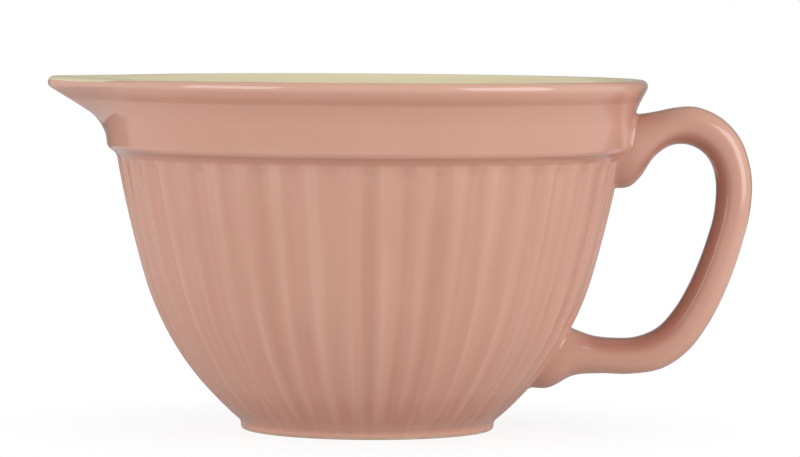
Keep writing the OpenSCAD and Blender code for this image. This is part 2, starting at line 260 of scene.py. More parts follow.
def bend_start(corner_h, bend, lean):
    """Height at which the collar's face starts to bend towards a lean above it."""
    return corner_h - bend * math.tan((lean - BAND_LEAN) / 2) * math.cos(BAND_LEAN)


def band_r(h):
    """Distance of the collar's plain face from the axis."""
    return CORNER_R + (h - CORNER_H) * math.tan(BAND_LEAN)


LIP_BEND_H = bend_start(CORNER_H, LIP_COVE_R, LIP_LEAN)
SPOUT_REACH = RIM_R + SPOUT_OUT
NOSE_BEAD_H = BEAD_H + SPOUT_RISE
NOSE_BEAD_AT = SPOUT_REACH - LIP_R
NOSE_LINE_R = NOSE_BEAD_AT + LIP_R / math.cos(SPOUT_LEAN)
NOSE_CORNER_H = (NOSE_LINE_R - NOSE_BEAD_H * math.tan(SPOUT_LEAN) - CORNER_R
                 + CORNER_H * math.tan(BAND_LEAN)) / (math.tan(BAND_LEAN) - math.tan(SPOUT_LEAN))
SPOUT_H = bend_start(NOSE_CORNER_H, SPOUT_SWEEP_R, SPOUT_LEAN)


def bent_r(h, start, bend, lean, depth):
    """A face that leans by BAND_LEAN up to a bend and by lean above it, at a depth in the clay."""
    centre = (band_r(start) + bend * math.cos(BAND_LEAN), start - bend * math.sin(BAND_LEAN))
    r = bend + depth
    low = (centre[0] - r * math.cos(BAND_LEAN), centre[1] + r * math.sin(BAND_LEAN))
    high = (centre[0] - r * math.cos(lean), centre[1] + r * math.sin(lean))
    curved = centre[0] - np.sqrt(np.maximum(r * r - (h - centre[1]) ** 2, 0))
    below = low[0] + (h - low[1]) * math.tan(BAND_LEAN)
    above = high[0] + (h - high[1]) * math.tan(lean)
    return np.where(h <= low[1], below, np.where(h >= high[1], above, curved))


def ring_r(h, depth):
    """Distance of the round rim's face from the axis."""
    return bent_r(h, LIP_BEND_H, LIP_COVE_R, LIP_LEAN, depth)


def reach_r(h, depth):
    """Distance of the spout's nose from the axis."""
    return bent_r(h, SPOUT_H, SPOUT_SWEEP_R, SPOUT_LEAN, depth)


def drawn_r(a, ring, reach, nose):
    """Outline of the spout from above: straight sides that touch the ring and the nose."""
    a, ring, reach, nose = np.broadcast_arrays(a, ring, reach, nose)
    c = np.maximum(reach - nose, NOSE_OUT_LEAST)
    side = np.arccos(np.clip((ring - nose) / c, -1, 1))
    turn = np.arctan2(nose * np.sin(side), c + nose * np.cos(side))
    b = np.abs(a)
    straight = ring / np.cos(np.clip(side - b, -UNDER_QUARTER_TURN, UNDER_QUARTER_TURN))
    round_nose = c * np.cos(b) + np.sqrt(np.maximum(nose ** 2 - (c * np.sin(b)) ** 2, 0))
    drawn = np.where(b >= side, ring, np.where(b > turn, straight, round_nose))
    return np.where(reach <= ring, ring, drawn)


def bead_r(a):
    """Distance of the bead's middle from the axis, at an angle from the spout."""
    return drawn_r(a, BEAD_AT, NOSE_BEAD_AT, NOSE_R - LIP_R)


def drawn_share(a):
    """How far the rim is drawn out: 0 on the ring and 1 at the spout's tip."""
    return (bead_r(a) - BEAD_AT) / (NOSE_BEAD_AT - BEAD_AT)


def wall_point(a, u, depth):
    """Rim wall above the spout's start: u is 0 there and 1 at the bead."""
    side = depth / LIP_R - 1
    ring_h = mix(SPOUT_H, BEAD_H + side * LIP_R * math.sin(LIP_LEAN), u)
    nose_h = mix(SPOUT_H, NOSE_BEAD_H + side * LIP_R * math.sin(SPOUT_LEAN), u)
    ring = ring_r(ring_h, depth)
    reach = reach_r(nose_h, depth)
    drawn = (reach - ring) / SPOUT_OUT
    nose = NOSE_R - depth + NOSE_SPREAD * (1 - np.clip(drawn, None, 1)) ** 2
    return np.stack([drawn_r(a, ring, reach, nose), mix(ring_h, nose_h, drawn_share(a))], -1)


def bead_point(a, t, r):
    """The bead at angle t round it, 0 on the level outside and a quarter turn at the crest."""
    height = mix(BEAD_H, NOSE_BEAD_H, drawn_share(a))
    return np.stack([bead_r(a) + r * np.cos(t), height + r * np.sin(t)], -1)


def bead_start(a):
    """Angle on the bead at which it takes over from the outer face below it."""
    return -mix(LIP_LEAN, SPOUT_LEAN, drawn_share(a))


def collar_edge(t):
    """The collar's round lower edge, at angle t from the level on its outside."""
    centre_h = NECK_H + COLLAR_EDGE_SHARE * COLLAR_EDGE_R
    return polar((band_r(centre_h) - COLLAR_EDGE_R, centre_h), COLLAR_EDGE_R, t)


def foot_rows():
    """The recess, the foot ring and the hollow above it, as rows of (distance, height)."""
    inner = FOOT_R - FOOT_RING_W
    e = FOOT_EDGE_R
    recess_r = inner - 2 * e
    under = np.linspace((POLE_R, FOOT_RECESS), (recess_r, FOOT_RECESS), num=8)[:-1]
    down = bezier([(recess_r, FOOT_RECESS), (inner, FOOT_RECESS), (inner, FOOT_RECESS - e)], count=8)
    turn_in = bezier([(inner, FOOT_RECESS - e), (inner, 0), (inner + e, 0)], count=6)
    turn_out = bezier([(FOOT_R - e, 0), (FOOT_R, 0), (FOOT_R, FOOT_EDGE_H)], count=12)
    cove = polar(COVE_C, FOOT_COVE_R, np.linspace(math.pi, math.pi + COVE_TOUCH_A, num=10))
    return np.concatenate([under, down, turn_in[1:], turn_out, cove])


def wall_rows():
    """The belly and the flank up to the undercut, finer where the flutes end in arches."""
    belly = polar(BELLY_C, BELLY_R, np.linspace(COVE_TOUCH_A, -WAIST_A, num=54))[1:-1]
    arches_h = FLUTE_TOP_H - FINE_ARCHES_H
    top_h = NECK_H - UNDERCUT_FROM_H
    heights = np.concatenate([
        np.linspace(WAIST_H, arches_h, num=24)[:-1], np.linspace(arches_h, top_h, num=34)])
    flank_r = FLANK_C[0] + np.sqrt(FLANK_R ** 2 - (FLANK_C[1] - heights) ** 2)
    return np.concatenate([belly, np.stack([flank_r, heights], -1)])


def undercut_rows(last_wall):
    """The hollow under the collar and the collar's lower edge."""
    edge_from = collar_edge(UNDERCUT_TURN)
    lean = (last_wall - FLANK_C) / FLANK_R
    corner = lines_meet(last_wall, (-lean[1], lean[0]),
                        edge_from, (-math.sin(UNDERCUT_TURN), math.cos(UNDERCUT_TURN)))
    hollow = bezier([last_wall, corner, edge_from], count=9)[1:]
    edge = collar_edge(np.linspace(UNDERCUT_TURN, -BAND_LEAN, num=10))[1:]
    return np.concatenate([hollow, edge])


FOOT_ROWS = foot_rows()
WALL_ROWS = wall_rows()
UNDERCUT_ROWS = undercut_rows(WALL_ROWS[-1])
RISE = np.linspace(0, 1, RISE_ROWS) ** RISE_CROWDING
OUTSIDE_ROWS = len(FOOT_ROWS) + len(WALL_ROWS) + len(UNDERCUT_ROWS) + len(RISE)

# The ring's outside as a distance for each height, for what is stuck on it. It starts in the
# hollow above the foot.
COVE_ROWS = FOOT_ROWS[-6:]
RING_RISE = wall_point(math.pi, RISE, 0)
WALL_LINE = np.concatenate([COVE_ROWS, WALL_ROWS, UNDERCUT_ROWS, RING_RISE])


def unevenness(angle, h):
    """How far the body's surface lies off the true form, zero or less."""
    total = sum(np.sin(turns * angle + 2 * math.pi * rise * h + phase)
                for turns, rise, phase in WAVES)
    return WAVE_H * (total - len(WAVES))


def flute_cut(angle, h):
    """Depth of the flutes, with soft ridges and arches that are a little square."""
    pitch = 2 * math.pi / FLUTE_COUNT
    index = np.round(angle / pitch)
    wall = np.interp(h, WALL_LINE[:, 1], WALL_LINE[:, 0])
    across = (angle - index * pitch) * wall
    belly_a = np.arcsin(np.clip((BELLY_C[1] - h) / BELLY_R, -1, 1))
    end_a = math.asin((BELLY_C[1] - FLUTE_END_H) / BELLY_R)
    drift = (1 - np.cos(np.clip(belly_a - WAIST_A, 0, None))) / (1 - math.cos(end_a - WAIST_A))
    varied = sum(share * np.sin(turn * index + rise * h) for share, turn, rise in FLUTE_WAVES)
    depth = mix(FLUTE_DEPTH, FLUTE_END_DEPTH, drift) * (1 + varied)
    reach = np.clip(h - FLUTE_TOP_H, 0, None)
    away = (np.abs(across) ** ARCH_POWER + reach ** ARCH_POWER) ** (1 / ARCH_POWER)
    cut = np.sqrt(np.maximum(FLUTE_TOOL_R ** 2 - away ** 2, 0)) - FLUTE_TOOL_R + depth
    run_out = smooth_step((h - FLUTE_END_H + RUN_OUT_BELOW) / RUN_OUT_H)
    soft = FLUTE_SOFTNESS * mix(END_SOFTNESS_SHARE, 1, run_out)
    rounded = np.maximum(cut, 0) + np.clip(soft - np.abs(cut), 0, None) ** 2 / (4 * soft)
    return rounded * run_out


def section_normals(rows):
    """Outward normals of a half section that runs upward."""
    along = np.gradient(rows, axis=0)
    return unit(np.stack([along[:, 1], -along[:, 0]], -1))


def round_to_points(rows, angles):
    """Rows of (distance, height) for every column become points, in millimetres."""
    r, h = rows[..., 0], rows[..., 1]
    return np.stack([r * np.cos(angles), r * np.sin(angles), h], -1)


def column_angles(count):
    """Even angles round a full turn, one for each column."""
    return np.arange(count) * 2 * math.pi / count


def from_spout(angles):
    """Angles round the axis, counted from the spout, within half a turn each way."""
    return np.mod(angles, 2 * math.pi) - math.pi


def bowl_outside(angles):
    """Rows of points from under the foot up to the bead."""
    a = from_spout(angles)
    low = np.concatenate([FOOT_ROWS, WALL_ROWS, UNDERCUT_ROWS])
    normals = section_normals(low)
    first, last = len(FOOT_ROWS), len(FOOT_ROWS) + len(WALL_ROWS)
    low = np.repeat(low[:, None], len(angles), 1)
    h = low[first:last, :, 1]
    cut = flute_cut(a[None], h) - WALL_WAVE_SHARE * unevenness(angles[None], h)
    fade = smooth_step((h - WALL_WAVES_FROM_H) / WALL_WAVES_RISE)
    low[first:last] -= normals[first:last, None] * (cut * fade)[..., None]
    rise = wall_point(a[None], RISE[:, None], 0)
    fade = smooth_step(RISE / RIM_WAVES_IN_SHARE) * smooth_step((1 - RISE) / RIM_WAVES_OUT_SHARE)
    rise[..., 0] += RIM_WAVE_SHARE * unevenness(angles[None], rise[..., 1]) * fade[:, None]
    return np.concatenate([low, rise])


def edge_of_cream(angles):
    """Where the cream glaze ends on the lip, a little uneven. It runs lower towards the spout."""
    a = from_spout(angles)
    drawn = smooth_step(drawn_share(a) / SPOUT_GLAZE_SHARE)
    round_rim = smooth_step((np.abs(a) - SHOULDER_A) / SHOULDER_SPAN_A)
    level = mix(mix(SHOULDER_GLAZE_EDGE_A, GLAZE_EDGE_A, round_rim), SPOUT_GLAZE_EDGE_A, drawn)
    ripple = sum(np.sin(turns * angles + phase) for turns, phase in EDGE_WAVES)
    return level + EDGE_WAVE_A * ripple


def shares(count):
    """Shares from 0 to 1, one for each row."""
    return np.linspace(0, 1, count)[:, None]


def bead_rows(angles, start, end, radii):
    """Rows round the bead from one angle to another, with a radius for each row."""
    return bead_point(from_spout(angles)[None], mix(start, end, shares(len(radii))), radii)


def inside_rows(angles, depth, rise_count, wall_count):
    """Rows from the bead down the inside to the floor, at a depth under the finished glaze."""
    a = from_spout(angles)[None]
    u = np.linspace(1, 0, rise_count)[:, None]
    rise = wall_point(a, u, RIM_T - depth)[1:]
    belly_r = BELLY_R - WALL_T + depth
    flank_r = FLANK_R - WALL_T + depth
    corner_r = FLOOR_R + depth
    floor_h = FLOOR_H - depth
    corner_h = floor_h + corner_r
    corner_in = math.sqrt((belly_r - corner_r) ** 2 - (BELLY_C[1] - corner_h) ** 2)
    corner = (BELLY_C[0] + corner_in, corner_h)
    touch_a = math.atan2(corner[1] - BELLY_C[1], corner[0] - BELLY_C[0])
    waist_h = FLANK_C[1] - flank_r * math.sin(WAIST_A)
    h = np.linspace(SPOUT_H, waist_h, wall_count)[1:]
    flank = FLANK_C[0] + np.sqrt(flank_r ** 2 - (FLANK_C[1] - h) ** 2)
    thick = ring_r(h, RIM_T - depth)
    blend_h = COLLAR_H / 2
    step = smooth_step((h - SPOUT_H + blend_h) / blend_h)
    shoulder = np.stack([mix(flank, thick, step), h], -1)
    belly = polar(BELLY_C, belly_r, np.linspace(-WAIST_A, touch_a, wall_count))[1:]
    turn = polar(corner, corner_r, np.linspace(touch_a, -math.pi / 2, num=16))[1:]
    floor = np.linspace(turn[-1], (POLE_R, floor_h), num=10)[1:]
    low = np.concatenate([shoulder, belly, turn, floor])
    return np.concatenate([rise, np.repeat(low[:, None], len(angles), 1)])


# Radius of a bend that counts as a full groove or a full edge, and how often the result is
# evened out with its neighbours
FULL_BEND_R = 2.2
EVENING_ROUNDS = 3


def hollowness(points):
    """How hollow a mesh of rows is at each point, -1 on an edge to 1 in a groove."""
    def bend(p, axis):
        ahead, behind = np.roll(p, -1, axis), np.roll(p, 1, axis)
        gap = np.linalg.norm(ahead - behind, axis=-1, keepdims=True) / 2 + TINY_GAP
        return (ahead + behind - 2 * p) / gap ** 2

    across = np.roll(points, -1, 1) - np.roll(points, 1, 1)
    along = np.roll(points, -1, 0) - np.roll(points, 1, 0)
    n = np.cross(across, along)
    n /= np.linalg.norm(n, axis=-1, keepdims=True) + TINY_AREA
    value = ((bend(points, 0) + bend(points, 1)) * n).sum(-1)
    value = np.clip(value * FULL_BEND_R, -1, 1)
    value[[0, -1]] = 0
    for _ in range(EVENING_ROUNDS):
        value = (np.roll(value, 1, 1) + np.roll(value, -1, 1) + 2 * value) / 4
        value[1:-1] = (value[:-2] + value[2:] + 2 * value[1:-1]) / 4
    return value


def mesh_of_rows(name, points, hollow, poles=(), endless=False):
    """A closed mesh from rows of points in millimetres, with a value for each point as the attribute
    hollow: the glaze's pooling, and painted light and painted shade where the caller adds them.
    The columns go round. The rows lead back to the first, or each end is closed by a pole."""
    rows, columns = points.shape[:2]
    i = np.arange(rows if endless else rows - 1)[:, None] * columns
    j = np.arange(columns)[None]
    k = (j + 1) % columns
    up = (i + columns) % (rows * columns)
    faces = np.stack([i + j, i + k, up + k, up + j], -1).reshape(-1, 4).tolist()
    vertices = points.reshape(-1, 3)
    ring = np.arange(columns)
    for number, pole in enumerate(poles):
        start = 0 if number == 0 else (rows - 1) * columns
        centre = len(vertices)
        vertices = np.concatenate([vertices, [pole]])
        pair = [(ring + 1) % columns + start, ring + start]
        ends = pair if number == 0 else pair[::-1]
        faces += np.stack([*ends, np.full(columns, centre)], -1).tolist()
    first, second, third = (vertices[[face[n] for face in faces]] for n in range(3))
    turned_in = np.einsum("ij,ij->", first, np.cross(second, third)) < 0
    if turned_in:
        faces = [face[::-1] for face in faces]
    mesh = bpy.data.meshes.new(name)
    mesh.from_pydata((vertices * MM).tolist(), [], faces)
    mesh.validate()
    values = np.zeros(len(vertices), np.float32)
    values[:hollow.size] = hollow.ravel()
    mesh.attributes.new("hollow", "FLOAT", "POINT").data.foreach_set("value", values)
    mesh.shade_smooth()
    piece = bpy.data.objects.new(name, mesh)
    bpy.context.scene.collection.objects.link(piece)
    return piece


# Rings on the outside where the colour is deeper, or paler where the last value is below zero:
# the heights where a ring starts, is full, is still full and ends, and how strong it is. The
# ring on the lip under its bead is painted shade, the rings under the collar and low on the
# belly are pooled glaze and painted shade, and the ring on the foot is painted light.
POOL_AND_PAINTED_LIGHT_RINGS = [(130.7, 131.9, 132.4, 136.2, 0.9), (108, 109.5, 111.5, 114.5, 0.9),
               (5.5, 8, 10, 20, 0.5), (0, 0.5, 4.5, 6, -0.9)]


def pools_and_painted_light_in_rings(points):
    """What the rings of pooled glaze, painted shade and painted light add to the hollowness on the
    outside.
    """
    h = points[..., 2]
    outside = np.arange(len(points))[:, None] < OUTSIDE_ROWS
    total = 0 * h
    for start, full, last, end, thickness in POOL_AND_PAINTED_LIGHT_RINGS:
        ring = smooth_step((h - start) / (full - start)) * smooth_step((end - h) / (end - last))
        total = total + thickness * ring * outside
    return total


def make_bowl():
    """The body, with the clay sunk under the cream glaze from its edge on the lip inward."""
    angles = column_angles(COLUMNS)
    gap = GLAZE_T + GLAZE_GAP
    start = bead_start(from_spout(angles))[None]
    edge = edge_of_cream(angles)[None]
    far = math.pi + start
    plain = np.full((12, 1), LIP_R)
    sunk = LIP_R - gap * smooth_step(shares(count=26) / CLAY_SINKS_SHARE)
    rows = np.concatenate([
        bowl_outside(angles),
        bead_rows(angles, start, edge, plain)[1:],
        bead_rows(angles, edge, far, sunk)[1:],
        inside_rows(angles, gap, rise_count=16, wall_count=24)])
    points = round_to_points(rows, angles)
    # Hollowness gives the glaze's pooling; the rings add painted shade and painted light
    hollow = np.clip(hollowness(points) + pools_and_painted_light_in_rings(points), -1, 1)
    poles = (0, 0, FOOT_RECESS), (0, 0, FLOOR_H - gap)
    return mesh_of_rows("bowl", points, hollow, poles)


def make_lining():
    """The cream glaze as a skin with a face, a back and a rounded edge on the lip."""
    angles = column_angles(LINING_COLUMNS)
    edge = edge_of_cream(angles)[None]
    far = math.pi + bead_start(from_spout(angles))[None]
    share = shares(LINING_RIM_ROWS)
    edge_r = LIP_R - GLAZE_EDGE_T
    face_radii = edge_r + GLAZE_EDGE_T * np.sqrt(smooth_step(share / FACE_ROUNDS_SHARE))
    back_radii = edge_r - (GLAZE_T - GLAZE_EDGE_T) * smooth_step(share / BACK_SINKS_SHARE)

    def skin(radii, depth):
        return np.concatenate([
            bead_rows(angles, edge, far, radii),
            inside_rows(angles, depth, LINING_RIM_ROWS, LINING_WALL_ROWS)])

    rows = np.concatenate([skin(back_radii, GLAZE_T)[::-1], skin(face_radii, 0)[1:]])
    points = round_to_points(rows, angles)
    poles = (0, 0, FLOOR_H - GLAZE_T), (0, 0, FLOOR_H)
    return mesh_of_rows("cream_lining", points, hollowness(points), poles)


def through(values, t):
    """A smooth curve through rows of values, at places t counted in rows."""
    values = np.asarray(values, float).reshape(len(values), -1)
    i = np.clip(np.floor(t).astype(int), 0, len(values) - 2)
    s = (t - i)[..., None]
    a, b, c, d = (values[np.clip(i + n, 0, len(values) - 1)] for n in (-1, 0, 1, 2))
    return b + 0.5 * s * (c - a + s * (2 * a - 5 * b + 4 * c - d + s * (3 * (b - c) + d - a)))


def edge_point(pairs):
    """Shares of the handle's reach and height become a distance and a height."""
    return np.stack([NECK_R + pairs[..., 0] * HANDLE_OUT,
                     mix(HANDLE_LOW_H, HANDLE_TOP_H, pairs[..., 1])], -1)


def squared(v):
    """A sine or cosine, changed so that it gives a section a little squarer than an oval."""
    return np.sign(v) * np.abs(v) ** SECTION_SOFTNESS


def handle_point(t, side):
    """The handle's surface at place t along it and angle side round it."""
    outer = edge_point(through(OUTER_EDGE_SHARES, t))
    inner = edge_point(through(INNER_EDGE_SHARES, t))
    half = (outer - inner) / 2
    wide = mix(GRIP_W, ROOT_W, through(ROOT_SHARES, t)[..., 0]) / 2
    middle = (outer + inner) / 2 + half * squared(np.cos(side))[..., None]
    return np.stack([middle[..., 0], wide * squared(np.sin(side)), middle[..., 1]], -1)


def wall_at(angle, h):
    """A point on the outside of the bowl, clear of the spout."""
    r = np.interp(h, WALL_LINE[:, 1], WALL_LINE[:, 0]) - flute_cut(from_spout(angle), h)
    return np.stack([r * np.cos(angle), r * np.sin(angle), h], -1)


def outside_by(p):
    """How far a point stands out from the bowl's wall, on the level."""
    angle = np.arctan2(p[..., 1], p[..., 0])
    wall = wall_at(angle, p[..., 2])
    return np.hypot(p[..., 0], p[..., 1]) - np.hypot(wall[..., 0], wall[..., 1])


def where_it_lands(sides, end_place, clear_place):
    """Place along the handle where each of its sides reaches the wall, found from outside."""
    places = np.linspace(clear_place, end_place, LANDING_STEPS)
    t = np.repeat(places[:, None], len(sides), 1)
    clear = outside_by(handle_point(t, sides[None])) > 0
    first_in = np.argmin(clear, 0)
    return places[np.clip(first_in, 1, None)]


SIDES = column_angles(HANDLE_SIDES)
LAST_PLACE = len(ROOT_SHARES) - 1
UPPER_LAND = where_it_lands(SIDES, 0, UPPER_CLEAR_PLACE)
LOWER_LAND = where_it_lands(SIDES, LAST_PLACE, LOWER_CLEAR_PLACE)

# Painted light and painted shade on the handle, given as hollowness: paler on the grip's
# outside, deeper on its inner side, which faces the bowl, and deeper on the outside of the upper root
OUTSIDE_PAINTED_LIGHT, INNER_SIDE_PAINTED_SHADE, UPPER_ROOT_PAINTED_SHADE = -0.45, 1, 0.5
# Where these lie round the handle, in cosines of the angle from its outside
INNER_SIDE_FROM, INNER_SIDE_SPAN, OUTSIDE_SPAN = 0.45, 1.1, 0.7
# Where these lie along the handle, in shares of its rows
GRIP_FADE_SHARE = 0.16
UPPER_ROOT_SHARE, UPPER_ROOT_FADE_SHARE = 0.3, 0.2


def handle_painted_light_and_shade(row_count):
    """Painted light and painted shade on the handle, as the hollowness that makes its glaze paler and
    deeper.
    """
    along = shares(row_count)
    inner_side = smooth_step((INNER_SIDE_FROM - np.cos(SIDES)) / INNER_SIDE_SPAN)
    outside = smooth_step(np.cos(SIDES) / OUTSIDE_SPAN)
    grip = smooth_step(along / GRIP_FADE_SHARE) * smooth_step((1 - along) / GRIP_FADE_SHARE)
    root = smooth_step((UPPER_ROOT_SHARE - along) / UPPER_ROOT_FADE_SHARE)
    return mix(OUTSIDE_PAINTED_LIGHT, INNER_SIDE_PAINTED_SHADE, inner_side) * grip + UPPER_ROOT_PAINTED_SHADE * outside * root


def make_handle():
    """The handle, closed at both roots by rows that lie on the bowl's wall."""
    t = mix(UPPER_LAND[None], LOWER_LAND[None], shares(HANDLE_ROWS))
    points = handle_point(t, SIDES[None])
    caps = []
    poles = []
    for end in points[0], points[-1]:
        centre = end.mean(0)
        inner = mix(end, centre, CAP_SHARES[:, None, None])
        caps.append(wall_at(np.arctan2(inner[..., 1], inner[..., 0]), inner[..., 2]))
        poles.append(wall_at(np.float64(0), centre[2]))
    points = np.concatenate([caps[0], points, caps[1][::-1]])
    # The handle's attribute holds painted light and painted shade
    return mesh_of_rows("handle_loop", points, handle_painted_light_and_shade(len(points)), poles)


# Steps along the handle, in places, that measure how fast it leaves the wall, and the least
# speed in millimetres a step. A short way on the wall gives the slip's direction there.
PLACE_STEP = 0.05
SPEED_STEPS = 3
LEAST_SPEED = 0.02
SHORT_WAY = 0.4
# How thick the glaze lies in the middle of a slip's face, away from this many edge rows
SLIP_GLAZE = 0.5
SLIP_EDGE_ROWS = 4


def make_slip(name, land, toward):
    """A ring of slip whose hollow face runs from the handle to the wall. The places along the
    handle that lead away from the wall rise where toward is 1, and fall where it is -1."""
    step = PLACE_STEP * toward
    seam = handle_point(land, SIDES)
    further = handle_point(land + SPEED_STEPS * step, SIDES)
    speed = np.linalg.norm(further - seam, axis=1) / SPEED_STEPS
    t = land + step * SLIP_ON_HANDLE / np.maximum(speed, LEAST_SPEED)
    on_handle = handle_point(t, SIDES)
    handle_way = unit(handle_point(t - step, SIDES) - on_handle)
    on_handle = on_handle + HANDLE_SUNK * unit(on_handle.mean(0) - on_handle)
    angle = np.arctan2(seam[:, 1], seam[:, 0])
    radius = np.hypot(seam[:, 0], seam[:, 1])
    flat = np.stack([angle * radius, seam[:, 2]], -1)
    tangent = np.roll(flat, -1, 0) - np.roll(flat, 1, 0)
    out = unit(np.stack([tangent[:, 1], -tangent[:, 0]], -1))
    out *= np.sign(((flat - flat.mean(0)) * out).sum())

    def spread(distance):
        place = flat + out * distance
        return wall_at(place[:, 0] / radius, place[:, 1])

    on_wall = spread(SLIP_ON_WALL)
    wall_way = unit(spread(SLIP_ON_WALL - SHORT_WAY) - on_wall)
    on_wall[:, :2] *= 1 - SLIP_SUNK / np.linalg.norm(on_wall[:, :2], axis=1, keepdims=True)
    bulge_a = SLIP_BULGE * np.linalg.norm(seam - on_handle, axis=1, keepdims=True)
    bulge_b = SLIP_BULGE * np.linalg.norm(seam - on_wall, axis=1, keepdims=True)
    face = bezier([on_handle, on_handle + handle_way * bulge_a,
                   on_wall + wall_way * bulge_b, on_wall], SLIP_FACE_ROWS)
    from_axis = np.stack([np.cos(angle), np.sin(angle), 0 * angle], -1)
    deep = seam + SLIP_TUCK_IN * unit(seam.mean(0) - seam) - SLIP_TUCK_DOWN * from_axis
    back = bezier([on_wall, deep, on_handle], count=7)[1:-1]
    points = np.concatenate([face, back])
    hollow = np.zeros(points.shape[:2])
    hollow[SLIP_EDGE_ROWS:SLIP_FACE_ROWS - SLIP_EDGE_ROWS] = SLIP_GLAZE
    return mesh_of_rows(name, points, hollow, endless=True)


# Colours of the glazes, the bare clay and the pinholes, linear. The paler and deeper rose
# colours also give painted light and painted shade, on rings of the bowl and on the handle.
ROSE_THIN = (0.575, 0.330, 0.252, 1)
ROSE = (0.532, 0.285, 0.212, 1)
ROSE_THICK = (0.470, 0.228, 0.162, 1)
ROSE_DEEP_AND_SHADE = (0.415, 0.178, 0.128, 1)
CREAM = (0.645, 0.582, 0.392, 1)
CREAM_THICK = (0.560, 0.490, 0.310, 1)
CLAY = (0.640, 0.540, 0.410, 1)
CLAY_DARK = (0.52, 0.42, 0.31, 1)
SPECK = (0.20, 0.09, 0.06, 1)

# Patterns in the glaze: scale, detail and roughness of a noise
CLOUDS = (38.0, 3.0, 0.55)
FLOW = (9.0, 2.0, 0.5)
STREAKS = (190.0, 1.0, 0.4)
GRAIN = (900.0, 2.0, 0.6)
RAGS = (160.0, 3.0, 0.5)
RIPPLE = (75.0, 2.0, 0.45)
PEEL = (420.0, 2.0, 0.5)
# Values between which a noise counts, low to high
NOISE_SPAN = (0.3, 0.7)
WIDE_NOISE_SPAN = (0.25, 0.75)
RAGS_SPAN = (0.2, 0.8)
GRAIN_SPAN = (0.62, 0.8)
# How much the patterns add to the thickness of the glaze or take from it, and the share of
# the thick colour in its grain
CLOUDS_ADD, FLOW_ADD, STREAKS_ADD = 0.09, 0.12, 0.28
GRAIN_SHARE = 0.16
# Streaks are long down the wall, because heights count for less than widths
STREAK_RISE_SHARE = 0.05
# The wall with its streaks fades out under the collar, between these heights
WALL_TOP_H, WALL_FULL_H = 112, 106
# Roughness of the glaze, and what the fluted wall, a pinhole and bare clay add to it
ROUGHNESS_SPAN = (0.085, 0.13)
WALL_DULLER, PINHOLE_DULLER, CLAY_DULLER = 0.11, 0.3, 0.55
GLAZE_IOR = 1.55
# Pinholes: cells in a metre, the share of them that stays empty, a hole's outer and inner
# radius as shares of a cell, and how dark it is
PINHOLE_CELLS = 72.0
PINHOLE_EMPTY_SHARE = 0.90
PINHOLE_RADIUS_SHARES = (0.028, 0.014)
PINHOLE_DARKNESS = 0.75
# Bare clay: its height, and how it fades and wanders
CLAY_H = 0.75
CLAY_FADE_H = 0.3
CLAY_WANDER = 0.25
# Relief: strength and depth
RIPPLE_RELIEF = (0.22, 0.35)
PEEL_RELIEF = (0.16, 0.05)
PINHOLE_RELIEF = (0.6, 0.15)

# Numbers of a mix node's sockets for colours, going in and coming out
MIXED_COLOURS = (6, 7)
BLENDED_COLOUR = 2


class Nodes:
    """The nodes of a new material, or of the world, made and joined in short lines."""

    def __init__(self, name=None, tree=None):
        if name is not None:
            self.material = bpy.data.materials.new(name)
            self.material.use_nodes = True
            tree = self.material.node_tree
        self.tree = tree
        tree.nodes.clear()

    def add(self, kind, **values):
        node = self.tree.nodes.new(kind)
        for key, value in values.items():
            if key in node.inputs.keys():
                self.put(node.inputs[key], value)
            else:
                setattr(node, key, value)
        return node

    def put(self, socket, value):
        if isinstance(value, bpy.types.NodeSocket):
            self.tree.links.new(value, socket)
        else:
            socket.default_value = value

    def put_all(self, node, *values):
        for socket, value in zip(node.inputs, values):
            self.put(socket, value)
        return node

    def math(self, operation, *values):
        return self.put_all(self.add("ShaderNodeMath", operation=operation), *values).outputs[0]

    def vector(self, operation, *values):
        return self.put_all(self.add("ShaderNodeVectorMath", operation=operation), *values)

    def between(self, value, low, high, to_low=0.0, to_high=1.0):
        node = self.add("ShaderNodeMapRange", interpolation_type="SMOOTHSTEP")
        return self.put_all(node, value, low, high, to_low, to_high).outputs[0]

    def swing(self, value, span, reach):
        """A noise as a smooth swing to both sides of zero."""
        return self.between(value, *span, -reach, reach)

    def blend(self, factor, *colours):
        node = self.add("ShaderNodeMix", data_type="RGBA", Factor=factor)
        for socket, colour in zip(MIXED_COLOURS, colours):
            self.put(node.inputs[socket], colour)
        return node.outputs[BLENDED_COLOUR]

    def either(self, factor, first, second):
        node = self.add("ShaderNodeMixShader")
        return self.put_all(node, factor, first.outputs[0], second.outputs[0])

    def noise(self, place, scale, detail, roughness):
        node = self.add("ShaderNodeTexNoise", Vector=place, Scale=scale, Detail=detail,
                        Roughness=roughness)
        return node.outputs[0]

    def relief(self, height, strength, depth, **under):
        node = self.add("ShaderNodeBump", Strength=strength, Distance=depth * MM, Height=height,
                        **under)
        return node.outputs[0]

    def finish(self, kind, shader):
        self.put(self.add(kind).inputs["Surface"], shader.outputs[0])


def round_the_axis(n, place, height):
    """Places on a ring of the neck's radius, which rise slowly with the height."""
    ring = n.vector("NORMALIZE", n.vector("MULTIPLY", place, (1, 1, 0)).outputs[0])
    wide = n.add("ShaderNodeVectorMath", operation="SCALE", Scale=NECK_R * MM)
    n.put(wide.inputs[0], ring.outputs[0])
    raised = n.add("ShaderNodeCombineXYZ", Z=n.math("MULTIPLY", height, STREAK_RISE_SHARE))
    return n.vector("ADD", wide.outputs[0], raised.outputs[0]).outputs[0]


def pinholes(n, place):
    """1 in the few pinholes and 0 elsewhere."""
    cells = n.add("ShaderNodeTexVoronoi", Vector=place, Scale=PINHOLE_CELLS).outputs
    chance = n.add("ShaderNodeSeparateColor", Color=cells["Color"]).outputs[0]
    rare = n.math("GREATER_THAN", chance, PINHOLE_EMPTY_SHARE)
    return n.math("MULTIPLY", n.between(cells["Distance"], *PINHOLE_RADIUS_SHARES), rare)


